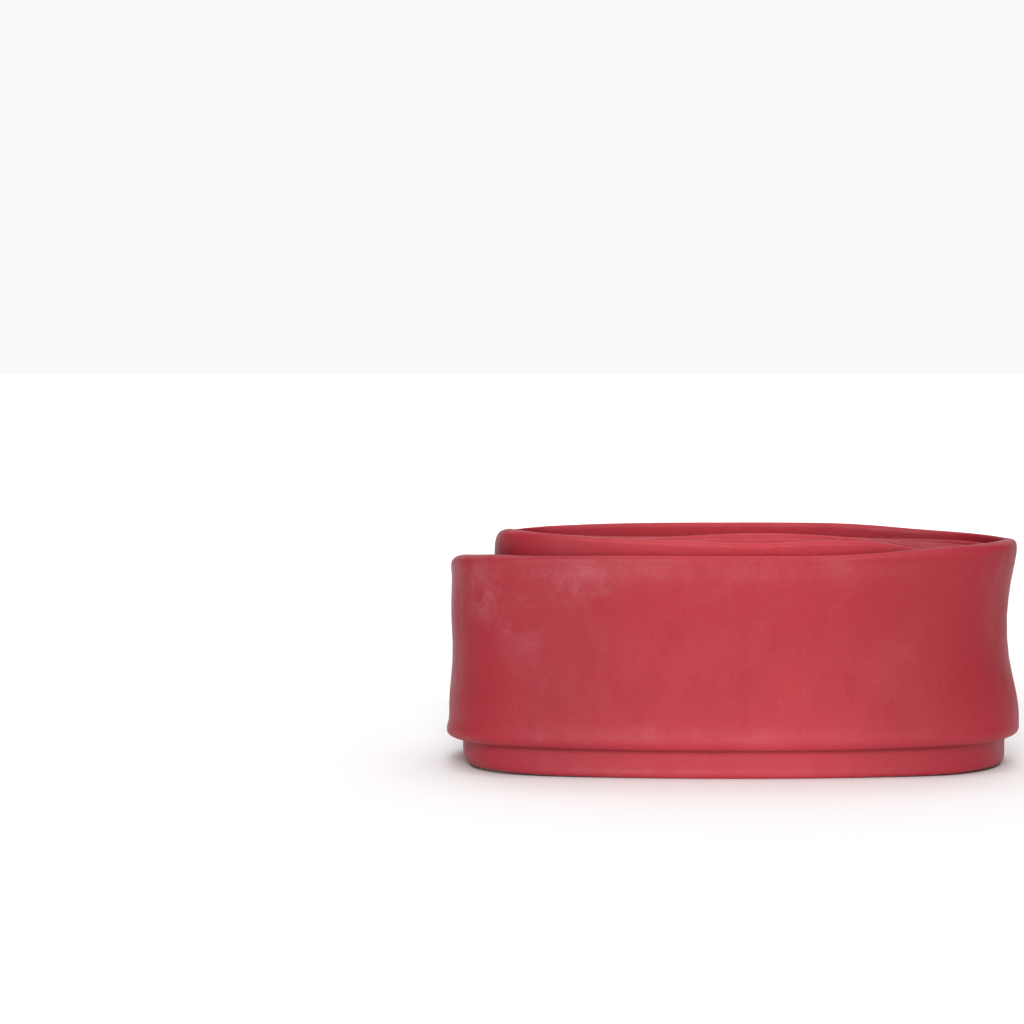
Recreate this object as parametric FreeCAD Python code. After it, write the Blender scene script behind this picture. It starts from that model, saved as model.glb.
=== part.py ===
"""A bicycle inner tube, rolled up for sale: a thin latex tube, collapsed flat, doubled and
wound into an oval roll that stands on its edge, with its long valve lying in the open core.

Millimetres. +Z is up, +X runs along the roll's length and along the valve towards its cap,
and -Y is the front. The origin is under the middle of the roll, on the surface it stands on.
"""
import FreeCAD
import Part
import math
import os
from FreeCAD import Vector

# the latex tube, collapsed flat
FLAT_WIDTH = 35.0
WALL = 0.65

# the roll: half sizes of its open core, to the middle of the strand, and the pitch of the
# strands across each side
CORE_LEFT = 34.75
CORE_RIGHT = 42.5
CORE_SIDE_LEFT = 6.4
CORE_SIDE_MIDDLE = 11.2
CORE_SIDE_RIGHT = 6.2
MIDDLE_X = 1.0
SIDE_BOW_RADIUS = 220.0
SIDE_PITCH = 1.55
LEFT_PITCH = 1.45
RIGHT_PITCH = 1.475
OUTER_WRAP_SLACK = 5.0
INNER_WRAP_SLACK = 4.0
LEFT_CORNER = 2.2
LEFT_CORNER_GROWTH = 1.2
HAIRPIN_X = 31.0
ROLL_END_X = 36.0
FOLD_ROUNDNESS = 0.47
TURNS = 4

# heights of the strand's upper edge above the floor, a row for each turn: the middle of the
# back, the back and the front of the right end, the middle of the front, and the front and the
# back of the left end. The inner strand's last turn stands on the floor and carries the roll.
OUTER_TURNS = [[40.0, 38.0, 38.4, 43.0, 41.6, 40.6],
               [39.7, 38.6, 38.9, 42.5, 41.8, 40.3],
               [39.4, 39.2, 40.0, 42.2, 43.6, 41.4],
               [41.8, 40.5, 41.1, 40.1, 40.1, 37.2]]
INNER_TURNS = [[39.9, 38.2, 38.6, 42.1, 41.4, 40.4],
               [39.6, 38.9, 39.0, 41.8, 41.2, 40.2],
               [38.2, 35.4, 35.0, 35.0, 35.0, 35.0]]
APEX = 41.0
CORE_FRONT = 42.4
LAST_OUTER_RUN = 37.0
LAST_INNER_RUN = 36.2
ROLL_END = 37.4
HAIRPIN = 38.6

# the valve: lengths along its axis from the tube's inner face, and diameters
VALVE_Z = APEX - FLAT_WIDTH / 2
SEAT_X = WALL - CORE_LEFT
PATCH_THICK = 0.6
PATCH_DIA = 23.0
PATCH_REACH = 5.2
FLANGE_DIA = 8.0
FLANGE_THICK = 1.8
FLANGE_SUNK = WALL
FOOT_DIA = 8.8
FOOT_TOP_DIA = 7.6
FOOT_TOP = 3.6
FOOT_LIP = 0.5
ROOT_FLARE = 0.6
ROOT_DIA = 5.6
BARREL_DIA = 6.0
SHOULDER = 32.55
NECK_DIA = 4.8
STEM_END = 36.85
CORE_LENGTH_IN = 13.9
COLLAR_END = 38.9
THREAD_END = 43.1
TIP = 47.35
AIR_BORE = 3.5
CORE_BORE = 3.95
CORE_THREAD_DIA = 3.85
CORE_TUBE_DIA = 2.9
CAP_THREAD_DIA = 5.1
COLLAR_DIA = 5.2
COLLAR_FLATS = 4.6
PIN_DIA = 1.5
PIN_BORE = 1.7
PIN_HEAD_DIA = 2.1
PIN_HEAD = 0.5
PIN_POINT_DIA = 1.4
THREAD_PITCH = 0.8
THREAD_DEPTH = 0.22
THREAD_CREST = (0.32, 0.48)
GASKET = (30.4, 32.2)
GASKET_DIAS = (3.2, 3.7)
GASKET_RIM = 0.5
SEAT_CONE = (30.2, 31.4)
CORE_TUBE_END = 26.1
SEAL_LENGTH = 1.5
RETAINER_LENGTH = 1.0
RETAINER_DIA = 2.8
NUT = (44.15, 46.35)
NUT_DIA = 4.2
NUT_NOSE_DIA = 3.0
NUT_NOSE = 0.7
NUT_BORE = 1.62
KNURL = 0.24
KNURLS = 18
CAP_END = 48.35
CAP_DIA = 5.6
CAP_SKIRT_DIA = 8.5
CAP_RIBBED_TO = 43.9
RIBS = 16
RIB_GROOVE_DIA = 0.84
DOME_HEIGHT = 1.68
DOME_STEPS = 6
ROOF_BEVEL = 0.6
CAP_TOP_SKIRT_DIA = 6.7
CAP_RING = 1.3
CAP_THREAD_BORE = 5.4
CAP_TIP_BORE = 4.6
CAP_ROOF = 0.75
GAP = 0.02
BEVEL = 0.3
FINE_BEVEL = 0.2


def middle(layer, sign, edge):
    """The wide bow of the front or back face, sign -1 or 1, at its middle."""
    y = sign * (CORE_SIDE_MIDDLE + SIDE_PITCH * layer)
    return (MIDDLE_X, y, edge - FLAT_WIDTH, SIDE_BOW_RADIUS)


def left_corners(layer, front, back):
    """The two rounded corners at the left end, met clockwise from the front."""
    slack = {2 * TURNS: OUTER_WRAP_SLACK, 2 * TURNS - 1: INNER_WRAP_SLACK}.get(layer, 0.0)
    x = -CORE_LEFT - LEFT_PITCH * layer - slack
    y = CORE_SIDE_LEFT + SIDE_PITCH * layer
    radius = LEFT_CORNER + LEFT_CORNER_GROWTH * layer
    return [(x, -y, front - FLAT_WIDTH, radius), (x, y, back - FLAT_WIDTH, radius)]


def right_corners(layer, back, front):
    """The half circle round the right end, where a strand moves out by two layers."""
    x = CORE_RIGHT + RIGHT_PITCH * layer
    y = CORE_SIDE_RIGHT + SIDE_PITCH * layer
    radius = y + SIDE_PITCH
    return [(x, y, back - FLAT_WIDTH, radius), (x, -y - 2 * SIDE_PITCH, front - FLAT_WIDTH, radius)]


def one_turn(layer, edges):
    """A strand's way from the back of the left end round to the same place, two layers out."""
    back, right_back, right_front, front, left_front, left_back = edges
    return [middle(layer, 1, back), *right_corners(layer, right_back, right_front),
            middle(layer + 2, -1, front), *left_corners(layer + 2, left_front, left_back)]


def fold(x, layer, sign, edge):
    """The tight fold that joins a strand to the next one out."""
    beside = CORE_RIGHT + RIGHT_PITCH * max(0, layer - 1)
    share = (x - MIDDLE_X) / (beside - MIDDLE_X)
    y = CORE_SIDE_MIDDLE + (CORE_SIDE_RIGHT - CORE_SIDE_MIDDLE) * share + SIDE_PITCH * layer
    radius = SIDE_PITCH * FOLD_ROUNDNESS
    z = edge - FLAT_WIDTH
    return [(x, sign * y, z, radius), (x, sign * (y + SIDE_PITCH), z, radius)]


def route_corners():
    """The corners of the endless loop: out along the outer strand from the valve, round the
    fold at the end of the roll, and back along the inner strand. Each is x, y, the height of
    the lower edge, and the corner's radius."""
    leg_start, outer_start = left_corners(0, APEX, APEX)
    outer = [outer_start]
    for turn, edges in enumerate(OUTER_TURNS):
        outer += one_turn(2 * turn, edges)
    inner = left_corners(1, APEX, APEX)
    for turn, edges in enumerate(INNER_TURNS):
        inner += one_turn(2 * turn + 1, edges)
    last = 2 * TURNS
    inner_end, outer_end = fold(ROLL_END_X, last - 1, 1, ROLL_END)
    outer += [middle(last, 1, LAST_OUTER_RUN), outer_end]
    inner += [middle(last - 1, 1, LAST_INNER_RUN), inner_end]
    leg_end, hairpin_end = fold(HAIRPIN_X, 0, -1, HAIRPIN)
    leg = [leg_start, middle(0, -1, CORE_FRONT), leg_end, hairpin_end, middle(1, -1, CORE_FRONT)]
    return outer + inner[::-1] + leg[::-1]


def bend(before, corner, after):
    """The arc that rounds a corner: its centre, its start, its angle and its height."""
    at = Vector(*corner[:2], 0)
    back = (Vector(*before[:2], 0) - at).normalize()
    ahead = (Vector(*after[:2], 0) - at).normalize()
    half = back.getAngle(ahead) / 2
    centre = at + (back + ahead).normalize() * (corner[3] / math.sin(half))
    start = at + back * (corner[3] / math.tan(half))
    angle = math.copysign(180 - 2 * math.degrees(half), back.cross(ahead).z) * -1
    return centre, start, angle, corner[2]


def bent_strand(centre, start, angle):
    """The band's plan round a bend, as a flat face."""
    across = (start - centre).normalize() * WALL
    line = Part.LineSegment(start - across, start + across).toShape()
    return line.revolve(centre, Vector(0, 0, 1), angle)


def straight_strand(start, end, z0, z1):
    """The band along a straight run, whose height may change along it."""
    normal = (end - start).cross(Vector(0, 0, 1)).normalize() * WALL
    up = Vector(0, 0, FLAT_WIDTH)
    low = [start - normal + Vector(0, 0, z0), end - normal + Vector(0, 0, z1)]
    face = Part.Face(Part.makePolygon([low[0], low[1], low[1] + up, low[0] + up, low[0]]))
    return face.extrude(normal * 2)


def turned(profile):
    """A solid of revolution round the valve's axis, from (length, radius) points."""
    points = [Vector(SEAT_X + u, r, VALVE_Z) for u, r in profile]
    face = Part.Face(Part.makePolygon(points + points[:1]))
    return face.revolve(Vector(0, 0, VALVE_Z), Vector(1, 0, 0), 360)


def rod(start, end, dia):
    """A plain round bar along the valve's axis."""
    return Part.makeCylinder(dia / 2, end - start, Vector(SEAT_X + start, 0, VALVE_Z), Vector(1, 0, 0))


def thread(start, end, dia):
    """The outline of a screw thread's crests and roots, as rings."""
    outline = []
    root = dia / 2 - THREAD_DEPTH
    turns = int((end - start) / THREAD_PITCH)
    margin = (end - start - turns * THREAD_PITCH) / 2
    for turn in range(turns):
        low = start + margin + turn * THREAD_PITCH
        outline += [(low, root), (low + THREAD_CREST[0], dia / 2), (low + THREAD_CREST[1], dia / 2)]
    return outline + [(end - margin, root)]


def ring_cuts(tool, count):
    """Copies of a cutting tool, spaced evenly round the valve's axis."""
    cuts = []
    for k in range(count):
        copy = tool.copy()
        copy.rotate(Vector(0, 0, VALVE_Z), Vector(1, 0, 0), 360 * k / count)
        cuts.append(copy)
    return cuts


def tube():
    """The endless tube, collapsed to a band, with a pocket for the valve's flange."""
    corners = route_corners()
    bends = [bend(corners[i - 1], corner, corners[(i + 1) % len(corners)])
             for i, corner in enumerate(corners)]
    pieces = []
    for (centre, start, angle, z), following in zip(bends, bends[1:] + bends[:1]):
        plan = bent_strand(centre, start, angle)
        plan.translate(Vector(0, 0, z))
        pieces.append(plan.extrude(Vector(0, 0, FLAT_WIDTH)))
        turn = FreeCAD.Rotation(Vector(0, 0, 1), angle)
        end = centre + turn.multVec(start - centre)
        if (following[1] - end).Length > GAP:
            pieces.append(straight_strand(end, following[1], z, following[3]))
    roll = pieces[0].multiFuse(pieces[1:])
    length = roll.Volume / (2 * WALL * FLAT_WIDTH)
    print("length of the tube round its loop, mm:", round(length))
    return roll.cut(rod(-FLANGE_SUNK, PATCH_THICK, FLANGE_DIA + 2 * GAP))


def core_block(inset, reach):
    """A block in the roll's core at the apex, set in from the strand's middle, its two
    corners rounded to follow the tube."""
    low = Vector(inset - CORE_LEFT, inset - CORE_SIDE_LEFT, 0)
    block = Part.makeBox(reach - inset, -2 * low.y, 2 * FLAT_WIDTH, low)
    corners = [edge for edge in block.Edges
               if edge.BoundBox.XMax < low.x + GAP and edge.BoundBox.ZLength > FLAT_WIDTH]
    return block.makeFillet(LEFT_CORNER - inset, corners)


def valve_patch():
    """A thin round of latex that doubles the tube's wall round the valve, bent with it."""
    outer = core_block(WALL + GAP, PATCH_REACH)
    inner = core_block(WALL + GAP + PATCH_THICK, 2 * PATCH_REACH)
    disc = rod(-FLANGE_THICK, 2 * PATCH_REACH, PATCH_DIA)
    hole = rod(-FLANGE_THICK, 2 * PATCH_REACH, FLANGE_DIA + 2 * GAP)
    return outer.cut(inner).common(disc).cut(hole)


def valve_foot():
    """A moulded rubber cone that bonds the valve's flange to the patch."""
    low, top = PATCH_THICK + 2 * GAP, FOOT_TOP - GAP
    flange_top = FLANGE_THICK - FLANGE_SUNK + GAP
    flange, root, crown = FLANGE_DIA / 2 + GAP, ROOT_DIA / 2 + GAP, FOOT_TOP_DIA / 2
    return turned([(low, flange), (low, FOOT_DIA / 2), (low + FOOT_LIP, FOOT_DIA / 2),
                   (top - BEVEL, crown), (top, crown - BEVEL), (top, root),
                   (flange_top + ROOT_FLARE, root), (flange_top, flange)])


def valve_stem():
    """The metal stem: a flange, a smooth barrel and a narrow neck, bored right through."""
    flange_top = FLANGE_THICK - FLANGE_SUNK
    root, barrel, neck = ROOT_DIA / 2, BARREL_DIA / 2, NECK_DIA / 2
    return turned([(GAP - FLANGE_SUNK, AIR_BORE / 2), (GAP - FLANGE_SUNK, FLANGE_DIA / 2),
                   (flange_top, FLANGE_DIA / 2), (flange_top + ROOT_FLARE, root),
                   (FOOT_TOP, root), (FOOT_TOP, barrel), (SHOULDER - BEVEL, barrel),
                   (SHOULDER, barrel - BEVEL), (SHOULDER, neck), (STEM_END - FINE_BEVEL, neck),
                   (STEM_END, neck - FINE_BEVEL), (STEM_END, CORE_BORE / 2),
                   (SEAT_CONE[1], CORE_BORE / 2), (SEAT_CONE[0], AIR_BORE / 2)])


def core_body():
    """The brass core: a long thread that screws into the stem, a collar with two flats for
    a wrench, and the thread that takes the cap."""
    tube_r, bore, collar = CORE_TUBE_DIA / 2, PIN_BORE / 2, COLLAR_DIA / 2
    collar_start = STEM_END + GAP
    screw = thread(GASKET[1] + FINE_BEVEL, STEM_END - BEVEL, CORE_THREAD_DIA)
    cap_screw = thread(COLLAR_END + BEVEL, THREAD_END - BEVEL, CAP_THREAD_DIA)
    outline = [(CORE_TUBE_END, bore), (CORE_TUBE_END, tube_r), (GASKET[1], tube_r)]
    outline += screw + [(collar_start, screw[-1][1]), (collar_start, collar - FINE_BEVEL)]
    outline += [(collar_start + FINE_BEVEL, collar), (COLLAR_END, collar)]
    outline += [(COLLAR_END, cap_screw[0][1])] + cap_screw
    outline += [(THREAD_END - FINE_BEVEL, NUT_NOSE_DIA / 2 + BEVEL), (THREAD_END, NUT_NOSE_DIA / 2),
                (THREAD_END, bore)]
    body = turned(outline)
    for turn in (0, 180):
        flat = Part.makeBox(COLLAR_END - STEM_END, 2 * COLLAR_DIA, COLLAR_DIA,
                            Vector(SEAT_X + STEM_END, -COLLAR_DIA, VALVE_Z + COLLAR_FLATS / 2))
        flat.rotate(Vector(0, 0, VALVE_Z), Vector(1, 0, 0), turn)
        body = body.cut(flat)
    return body


def core_gasket():
    """The tapered rubber ring that seals the core in the stem."""
    start, end = GASKET[0], GASKET[1] - GAP
    inner, small, large = CORE_TUBE_DIA / 2, GASKET_DIAS[0] / 2, GASKET_DIAS[1] / 2
    return turned([(start, inner), (start, small), (end - GASKET_RIM, large), (end, large),
                   (end, inner)])


def core_pin():
    """The long pin that carries the seal, with a peened head that keeps the nut on."""
    bottom, neck = STEM_END - CORE_LENGTH_IN, TIP - PIN_HEAD
    shank, head = PIN_DIA / 2, PIN_HEAD_DIA / 2
    return turned([(bottom, 0), (bottom, shank), (neck, shank), (neck, head),
                   (neck + PIN_HEAD / 2, head), (TIP, PIN_POINT_DIA / 2), (TIP, 0)])


def pin_seal():
    """The rubber ring that the pin pulls up against the end of the core."""
    start, end = CORE_TUBE_END - GAP - SEAL_LENGTH, CORE_TUBE_END - GAP
    shank, r = PIN_DIA / 2, CORE_TUBE_DIA / 2
    return turned([(start, shank), (start, r), (end - BEVEL, r), (end, r - BEVEL), (end, shank)])


def seal_retainer():
    """The brass cup that holds the seal on the pin."""
    end = CORE_TUBE_END - GAP - SEAL_LENGTH - GAP
    start, shank, r = end - RETAINER_LENGTH, PIN_DIA / 2, RETAINER_DIA / 2
    return turned([(start, shank), (start, r - BEVEL), (start + BEVEL, r), (end, r), (end, shank)])


def pin_nut():
    """The knurled nut that locks the pin shut."""
    start, end = NUT
    nose, r, bore = NUT_NOSE_DIA / 2, NUT_DIA / 2, NUT_BORE / 2
    nut = turned([(start, bore), (start, nose), (start + NUT_NOSE, r), (end - FINE_BEVEL, r),
                  (end, r - FINE_BEVEL), (end, bore)])
    tool = Part.makeBox(end - start, KNURL, KNURL, Vector(0, -KNURL / 2, -KNURL / 2))
    tool.rotate(Vector(), Vector(1, 0, 0), 45)
    tool.translate(Vector(SEAT_X + start + NUT_NOSE, 0, VALVE_Z + r))
    return nut.cut(ring_cuts(tool, KNURLS))


def valve_cap():
    """The plastic cap: a smooth dome over the pin and a ribbed skirt with a plain rim."""
    start, end, ring_end = SHOULDER + GAP, CAP_END, SHOULDER + GAP + CAP_RING
    dome, skirt, top = CAP_DIA / 2, CAP_SKIRT_DIA / 2, CAP_TOP_SKIRT_DIA / 2
    bore, tip_bore = CAP_THREAD_BORE / 2, CAP_TIP_BORE / 2
    outline = [(start, bore), (start, skirt - FINE_BEVEL), (start + FINE_BEVEL, skirt),
               (ring_end, skirt), (ring_end + FINE_BEVEL, skirt - FINE_BEVEL),
               (CAP_RIBBED_TO - BEVEL, top), (CAP_RIBBED_TO, dome)]
    for k in range(DOME_STEPS + 1):
        swing = math.radians(90 * k / DOME_STEPS)
        outline.append((end - DOME_HEIGHT * (1 - math.sin(swing)), dome * math.cos(swing)))
    roof = end - CAP_ROOF
    outline += [(roof, 0), (roof, tip_bore - ROOF_BEVEL), (roof - ROOF_BEVEL, tip_bore),
                (THREAD_END + 2 * BEVEL, tip_bore), (THREAD_END + BEVEL, bore)]
    cap = turned(outline)
    span = CAP_RIBBED_TO - ring_end
    groove = Part.makeCylinder(RIB_GROOVE_DIA / 2, span,
                               Vector(SEAT_X + ring_end + 2 * BEVEL, 0, VALVE_Z + skirt),
                               Vector(span, 0, top - skirt))
    return cap.cut(ring_cuts(groove, RIBS))


os.makedirs("parts", exist_ok=True)
for make in (tube, valve_patch, valve_foot, valve_stem, core_body, core_gasket, core_pin,
             pin_seal, seal_retainer, pin_nut, valve_cap):
    solid = make().Solids[0]
    box = solid.BoundBox
    print(make.__name__, "valid" if solid.isValid() else "NOT VALID", round(solid.Volume, 1), "mm3,",
          round(box.XLength, 2), "x", round(box.YLength, 2), "x", round(box.ZLength, 2))
    solid.exportStep("parts/" + make.__name__ + ".step")
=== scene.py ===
"""The looks of the rolled inner tube: the wound latex, its valve, the light and the camera.

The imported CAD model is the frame. The pieces' lengths are millimetres in the part's frame, +Z up
and -Y the front, and are turned into metres when a mesh is made. The textures, the lights and
the camera are in metres.
"""
import math

import bmesh
import bpy
import numpy as np
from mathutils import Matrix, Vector


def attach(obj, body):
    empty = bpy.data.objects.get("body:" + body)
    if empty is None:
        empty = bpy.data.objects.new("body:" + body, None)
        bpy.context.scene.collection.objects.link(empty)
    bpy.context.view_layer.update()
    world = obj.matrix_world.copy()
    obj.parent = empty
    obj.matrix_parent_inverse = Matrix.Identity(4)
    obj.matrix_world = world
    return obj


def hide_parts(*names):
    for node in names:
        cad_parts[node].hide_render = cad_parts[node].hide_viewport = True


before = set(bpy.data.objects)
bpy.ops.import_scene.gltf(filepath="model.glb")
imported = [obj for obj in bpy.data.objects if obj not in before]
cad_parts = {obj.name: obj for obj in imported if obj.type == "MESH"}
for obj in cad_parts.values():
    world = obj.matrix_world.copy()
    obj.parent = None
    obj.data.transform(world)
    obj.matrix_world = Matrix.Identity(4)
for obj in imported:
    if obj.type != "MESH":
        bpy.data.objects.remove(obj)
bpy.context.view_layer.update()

MM = 0.001

# the roll, as the CAD part winds it
FLAT_WIDTH = 35.0
WALL_HALF = 0.65
CORE_LEFT = 34.75
CORE_RIGHT = 42.5
CORE_SIDE_LEFT = 6.4
CORE_SIDE_MIDDLE = 11.2
CORE_SIDE_RIGHT = 6.2
MIDDLE_X = 1.0
SIDE_BOW_RADIUS = 220.0
SIDE_PITCH = 1.55
LEFT_PITCH = 1.45
RIGHT_PITCH = 1.475
OUTER_WRAP_SLACK = 5.0
INNER_WRAP_SLACK = 4.0
LEFT_CORNER = 2.2
LEFT_CORNER_GROWTH = 1.2
HAIRPIN_X = 31.0
ROLL_END_X = 36.0
FOLD_ROUNDNESS = 0.47
TURNS = 4
LAST = 2 * TURNS

# the strand's upper edge above the floor, a row for each turn: the middle of the back, the back
# and the front of the right end, the middle of the front, and the front and back of the left
# end. The lower edge is a flat width below it, except where a pair gives both edges.
OUTER_TURNS = [[40.0, 38.0, 38.4, 41.9, 41.6, 40.6],
               [39.7, 38.6, 38.9, 41.9, 41.8, 40.3],
               [39.4, 39.2, 40.0, 42.7, 43.7, 41.35],
               [41.75, 40.5, (5.6, 41.6), (5.2, 40.1), (5.5, 39.8), (3.3, 36.1)]]
INNER_TURNS = [[39.9, 38.2, 38.6, 41.8, 41.4, 40.4],
               [39.6, 38.9, 39.0, 41.7, 41.2, 40.2],
               [38.2, 35.4, 35.0, 35.0, 35.0, 35.0]]
APEX = 41.0
LAST_OUTER_RUN = 37.0
LAST_INNER_RUN = 36.2
ROLL_END = 37.4
HAIRPIN = 38.6

# how the soft tube is drawn along that route
STATION_GAP = 1.25
ARC_STEP = 9.0
SMOOTHING_PASSES = 40
FREE_LAYER = 6
FLAT_HALF = 0.58
BEAD = 0.71
BEAD_SPREAD = 1.7
UPPER_LIP = 0.2
LOWER_LIP = 0.5
EDGE_STEPS = [0.0, 0.05, 0.16, 0.34, 0.58, 0.9, 1.3, 1.8, 2.5, 3.4, 4.6, 6.2, 8.4, 11.0, 14.0, 17.5]


# ---------------------------------------------------------------- smooth steps and swells

def ramp(x, low, high):
    """0 below low, 1 above high, and an even slope between."""
    return np.clip((x - low) / (high - low), 0, 1)


def ease(x, low, high):
    """As ramp, but rounded at both ends."""
    t = ramp(x, low, high)
    return t * t * (3 - 2 * t)


def swell(x, middle, reach):
    """1 at the middle, falling smoothly to 0 on both sides."""
    return np.exp(-((x - middle) / reach) ** 2)


def curve(x, stops):
    """Reads a smooth curve through (place, value) stops."""
    places, values = (np.array(v, float) for v in zip(*stops))
    slopes = np.gradient(values, places)
    x = np.clip(x, places[0], places[-1])
    k = np.clip(np.searchsorted(places, x, side="right") - 1, 0, len(places) - 2)
    span = places[k + 1] - places[k]
    t = (x - places[k]) / span
    start = (1 + 2 * t) * (1 - t) ** 2 * values[k] + t * (1 - t) ** 2 * span * slopes[k]
    return start + t * t * ((3 - 2 * t) * values[k + 1] + (t - 1) * span * slopes[k + 1])


def unit(vectors):
    return vectors / np.linalg.norm(vectors, axis=-1, keepdims=True)


def mean_beside(values):
    """The mean of each row's two neighbours round the loop."""
    return (np.roll(values, 1, axis=0) + np.roll(values, -1, axis=0)) / 2


# ---------------------------------------------------------------- the strand's route

def corner(x, y, edges, radius, layer):
    low, high = edges if isinstance(edges, tuple) else (edges - FLAT_WIDTH, edges)
    return {"at": np.array([x, y]), "edges": (low, high), "radius": radius, "layer": layer}


def middle(layer, sign, edges):
    """The wide bow of the front or back face, sign -1 or 1, at its middle."""
    y = sign * (CORE_SIDE_MIDDLE + SIDE_PITCH * layer)
    return corner(MIDDLE_X, y, edges, SIDE_BOW_RADIUS, layer)


def left_corners(layer, front, back):
    """The two rounded corners at the left end, front and back."""
    slack = {LAST: OUTER_WRAP_SLACK, LAST - 1: INNER_WRAP_SLACK}.get(layer, 0.0)
    x = -CORE_LEFT - LEFT_PITCH * layer - slack
    y = CORE_SIDE_LEFT + SIDE_PITCH * layer
    radius = LEFT_CORNER + LEFT_CORNER_GROWTH * layer
    return [corner(x, -y, front, radius, layer), corner(x, y, back, radius, layer)]


def right_corners(layer, back, front):
    """The half circle round the right end, where a strand moves out by two layers."""
    x = CORE_RIGHT + RIGHT_PITCH * layer
    y = CORE_SIDE_RIGHT + SIDE_PITCH * layer
    radius = y + SIDE_PITCH
    return [corner(x, y, back, radius, layer), corner(x, -y - 2 * SIDE_PITCH, front, radius, layer + 2)]


def one_turn(layer, edges):
    """A strand's way from the back of the left end round to the same place, two layers out."""
    back, right_back, right_front, front, left_front, left_back = edges
    return [middle(layer, 1, back), *right_corners(layer, right_back, right_front),
            middle(layer + 2, -1, front), *left_corners(layer + 2, left_front, left_back)]


def fold(x, layer, sign, edges):
    """The tight fold that joins a strand to the next one out."""
    beside = CORE_RIGHT + RIGHT_PITCH * max(0, layer - 1)
    share = (x - MIDDLE_X) / (beside - MIDDLE_X)
    y = CORE_SIDE_MIDDLE + (CORE_SIDE_RIGHT - CORE_SIDE_MIDDLE) * share + SIDE_PITCH * layer
    radius = SIDE_PITCH * FOLD_ROUNDNESS
    return [corner(x, sign * y, edges, radius, layer),
            corner(x, sign * (y + SIDE_PITCH), edges, radius, layer + 1)]


def route_corners():
    """The corners of the endless loop, out along the outer strand and back along the inner."""
    leg, start = left_corners(0, APEX, APEX)
    outer, inner = [start], left_corners(1, APEX, APEX)
    for turn, edges in enumerate(OUTER_TURNS):
        outer += one_turn(2 * turn, edges)
    for turn, edges in enumerate(INNER_TURNS):
        inner += one_turn(2 * turn + 1, edges)
    inner_end, outer_end = fold(ROLL_END_X, LAST - 1, 1, ROLL_END)
    outer += [middle(LAST, 1, LAST_OUTER_RUN), outer_end]
    inner += [middle(LAST - 1, 1, LAST_INNER_RUN), inner_end]
    leg_end, hairpin_end = fold(HAIRPIN_X, 0, -1, HAIRPIN)
    leg = [leg, middle(0, -1, APEX), leg_end, hairpin_end, middle(1, -1, APEX)]
    return outer + inner[::-1] + leg[::-1]


def bend(before, here, after):
    """Points along the arc that rounds a corner."""
    back = unit(before["at"] - here["at"])
    ahead = unit(after["at"] - here["at"])
    half = math.acos(np.clip(back @ ahead, -1, 1)) / 2
    centre = here["at"] + unit(back + ahead) * here["radius"] / math.sin(half)
    spoke = here["at"] + back * here["radius"] / math.tan(half) - centre
    swing = math.copysign(math.pi - 2 * half, ahead[0] * back[1] - ahead[1] * back[0])
    count = max(math.ceil(math.degrees(abs(swing)) / ARC_STEP),
                math.ceil(abs(swing) * here["radius"] / STATION_GAP))
    points = []
    for k in range(count + 1):
        c, s = math.cos(swing * k / count), math.sin(swing * k / count)
        points.append(centre + np.array([c * spoke[0] - s * spoke[1], s * spoke[0] + c * spoke[1]]))
    return points


def route():
    """Stations along the loop: rows of x, y, the two edges, layer and freedom to be eased."""
    corners = route_corners()
    for here in corners:
        is_fold = here["radius"] < SIDE_PITCH / 2
        freedom = 0.0 if is_fold else min(1.0, here["layer"] / FREE_LAYER) ** 2
        here["facts"] = np.array([*here["edges"], here["layer"], freedom])
    around = corners[1:] + corners[:1]
    arcs = [bend(before, here, after)
            for before, here, after in zip(corners[-1:] + corners[:-1], corners, around)]
    rows = []
    for here, after, arc, next_arc in zip(corners, around, arcs, arcs[1:] + arcs[:1]):
        rows += [[*point, *here["facts"]] for point in arc]
        start, end = arc[-1], next_arc[0]
        gaps = max(1, math.ceil(np.linalg.norm(end - start) / STATION_GAP))
        for share in np.arange(1, gaps) / gaps:
            rows.append([*(start + (end - start) * share),
                         *(here["facts"] + (after["facts"] - here["facts"]) * share)])
    return np.array(rows)


def eased(rows):
    """The route with its straights, arcs and heights eased into one another."""
    rows = rows.copy()
    pace = np.full_like(rows, 0.5)
    pace[:, :2] *= rows[:, 5:]
    pace[:, 5] = 0.0
    for _ in range(SMOOTHING_PASSES):
        rows += pace * (mean_beside(rows) - rows)
    return rows


# ---------------------------------------------------------------- shared mesh helpers

def mesh_piece(name, points, faces, material, smooth=True):
    """A mesh object from points in millimetres."""
    mesh = bpy.data.meshes.new(name)
    mesh.from_pydata([tuple(p) for p in np.asarray(points) * MM], [], faces)
    shape = bmesh.new()
    shape.from_mesh(mesh)
    bmesh.ops.recalc_face_normals(shape, faces=shape.faces)
    shape.to_mesh(mesh)
    shape.free()
    mesh.materials.append(material)
    mesh.polygons.foreach_set("use_smooth", [smooth] * len(mesh.polygons))
    piece = bpy.data.objects.new(name, mesh)
    bpy.context.scene.collection.objects.link(piece)
    return piece


def stand_in(piece, body, node):
    """Puts a piece in the place of a CAD node."""
    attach(piece, body)
    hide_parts(node)


def ring_faces(rings, count):
    """The faces between closed rings of points, the last ring joined to the first."""
    faces = []
    for i in range(rings):
        a, b = i * count, (i + 1) % rings * count
        for k in range(count):
            n = (k + 1) % count
            faces.append((a + k, b + k, b + n, a + n))
    return faces


# ---------------------------------------------------------------- the latex tube

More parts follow.
